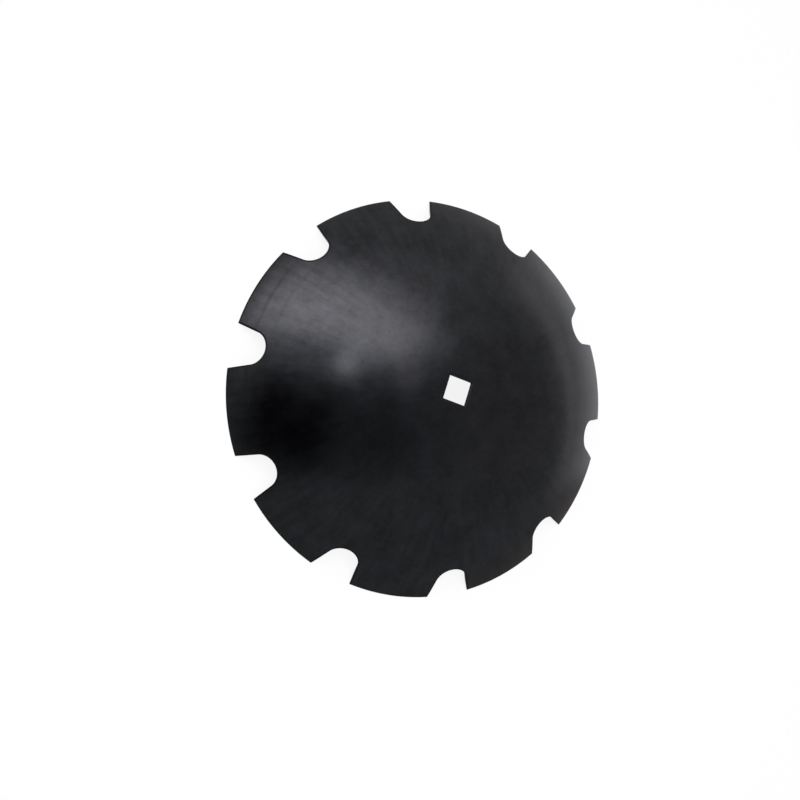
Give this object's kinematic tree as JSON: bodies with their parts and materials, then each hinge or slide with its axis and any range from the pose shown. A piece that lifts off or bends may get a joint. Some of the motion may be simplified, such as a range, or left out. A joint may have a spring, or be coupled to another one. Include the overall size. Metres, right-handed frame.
{
  "type": "harrow disc blade",
  "caption": "Dished round harrow disc blade with a notched cutting edge, bevelled on the hollow side, and a square arbor hole.",
  "frame": {"origin": "middle of the rim circle, in the plane the cutting edge rests in", "axes": "+Z along the blade's axis, out through the convex side and the square hole; +X through the middle of one land between two notches"},
  "size_m": [0.6599, 0.6562, 0.125],
  "materials": {
    "blade_steel": "satin black coat over pressed boron steel"
  },
  "bodies": {
    "root": {"disc_blade": "blade_steel"}
  },
  "joints": []
}
